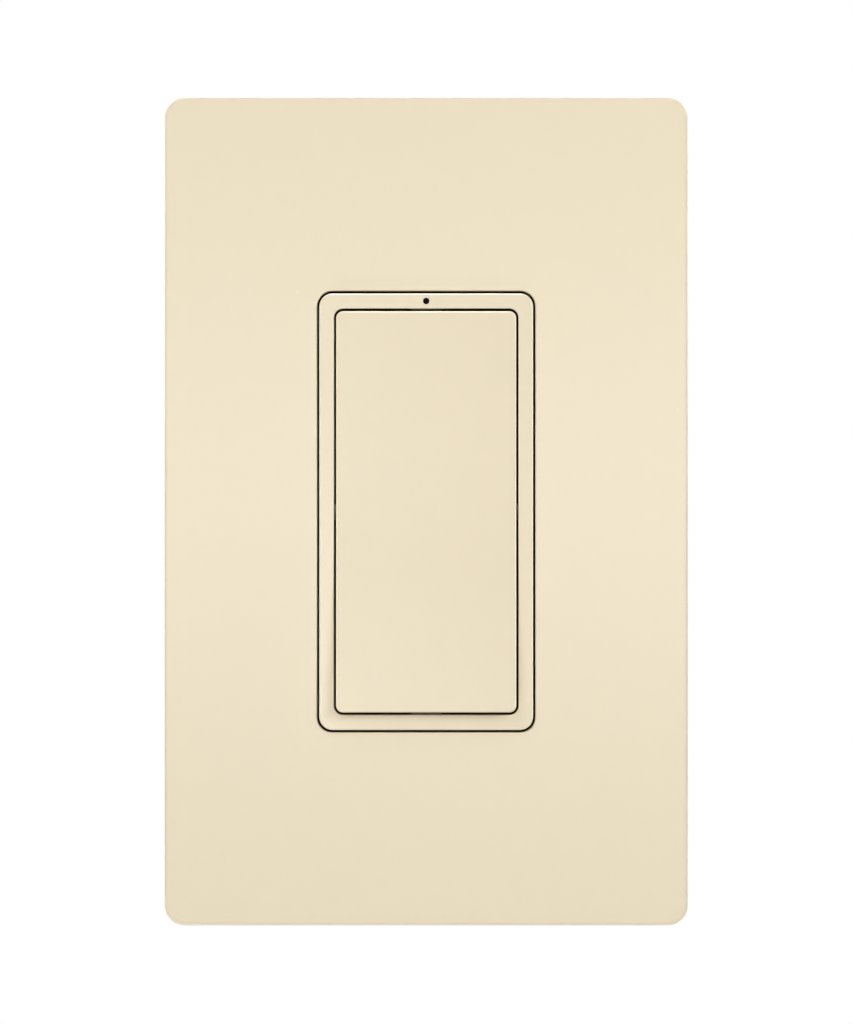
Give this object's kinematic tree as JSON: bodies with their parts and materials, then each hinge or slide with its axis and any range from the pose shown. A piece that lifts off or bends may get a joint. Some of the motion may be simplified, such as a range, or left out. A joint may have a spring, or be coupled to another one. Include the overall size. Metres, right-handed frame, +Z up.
{
  "type": "paddle dimmer switch",
  "caption": "Wall dimmer with a rocking paddle, bezel and status light in a screwless wall plate, on a metal strap with a rear housing and screw terminals.",
  "frame": {"origin": "middle of the wall plate's rear rim, on the surface of the wall", "axes": "+X right as seen from the front, +Y into the wall, +Z up; the front faces -Y"},
  "size_m": [0.0794, 0.039, 0.1258],
  "materials": {
    "almond_plate": "satin",
    "almond_bezel": "satin",
    "almond_paddle": "satin",
    "frame_plastic": "matte",
    "zinc_steel": "satin",
    "strap_aluminium": "satin",
    "green_screw": "satin",
    "fibre": "matte",
    "smoked_lens": "gloss",
    "plunger_plastic": "satin",
    "spring_steel": "satin",
    "carbon_rubber": "matte",
    "board_green": "satin",
    "gold_pad": "satin",
    "led_white": "gloss",
    "component_black": "matte",
    "ferrite": "matte",
    "copper_wire": "satin",
    "capacitor_yellow": "satin",
    "capacitor_blue": "satin",
    "disc_blue": "satin",
    "brass": "satin",
    "housing_black": "matte"
  },
  "bodies": {
    "device": {"wall_plate": "almond_plate", "bezel": "almond_bezel", "sub_plate": "frame_plastic", "plate_screws": "zinc_steel", "box_screws": "zinc_steel", "board_screws": "zinc_steel", "body_screws": "zinc_steel", "triac_rivet": "zinc_steel", "neutral_terminal_screw": "zinc_steel", "strap": "strap_aluminium", "ground_screw": "green_screw", "screw_retainers": "fibre", "light_pipe": "smoked_lens", "upper_spring": "spring_steel", "lower_spring": "spring_steel", "control_board": "board_green", "power_board": "board_green", "contact_pads": "gold_pad", "status_led": "led_white", "controller_chip": "component_black", "board_header": "component_black", "triac": "component_black", "choke_core": "ferrite", "choke_winding": "copper_wire", "film_capacitor": "capacitor_yellow", "supply_capacitor": "capacitor_blue", "surge_disc": "disc_blue", "line_terminal": "brass", "load_terminal": "brass", "neutral_terminal": "brass", "terminal_clamps": "brass", "live_terminal_screws": "brass", "back_body": "housing_black", "chassis": "housing_black"},
    "paddle": {"paddle": "almond_paddle"},
    "upper_plunger": {"upper_plunger": "plunger_plastic", "upper_pill": "carbon_rubber"},
    "lower_plunger": {"lower_plunger": "plunger_plastic", "lower_pill": "carbon_rubber"}
  },
  "joints": [
    {"name": "paddle_rock", "type": "hinge", "parent": "device", "child": "paddle", "pos_m": [0, -0.0047, 0], "axis": [1, 0, 0], "range_deg": [-2, 2], "stiffness_Nm_per_rad": 0.35},
    {"name": "upper_plunger_slide", "type": "slide", "parent": "device", "child": "upper_plunger", "axis": [0, 1, 0], "range_m": [-0.00075, 0.00075], "deforming": ["upper_spring"]},
    {"name": "lower_plunger_slide", "type": "slide", "parent": "device", "child": "lower_plunger", "axis": [0, 1, 0], "range_m": [-0.00075, 0.00075], "deforming": ["lower_spring"]}
  ],
  "couplings": [
    {"joint": "upper_plunger_slide", "follows": "paddle_rock", "m_per_rad": -0.02},
    {"joint": "lower_plunger_slide", "follows": "paddle_rock", "m_per_rad": 0.02}
  ]
}
